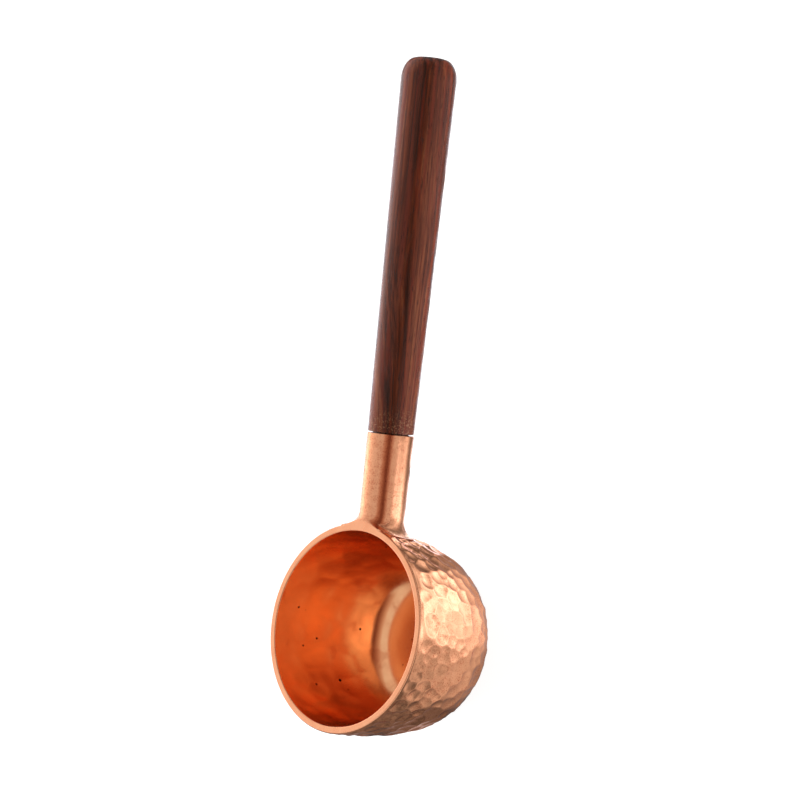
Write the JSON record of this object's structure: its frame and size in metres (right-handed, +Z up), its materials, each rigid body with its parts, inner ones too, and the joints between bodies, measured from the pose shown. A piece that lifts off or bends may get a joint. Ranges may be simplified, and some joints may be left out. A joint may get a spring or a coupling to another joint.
{
  "type": "coffee scoop",
  "caption": "Hammered copper coffee scoop: a round cup with a flat foot, a brazed copper socket under the rim and a slightly raised turned wooden handle.",
  "frame": {"origin": "centre of the bowl's flat foot, on the surface it stands on", "axes": "+Z up out of the bowl's mouth, +X along the handle away from the bowl"},
  "size_m": [0.1641, 0.0508, 0.0416],
  "materials": {
    "bowl_copper": "hammered outside, polished inside",
    "socket_copper": "satin",
    "braze_alloy": "dressed flush",
    "handle_wood": "oiled, satin"
  },
  "bodies": {
    "root": {"bowl": "bowl_copper", "socket": "socket_copper", "neck_braze": "braze_alloy", "handle": "handle_wood"}
  },
  "joints": []
}
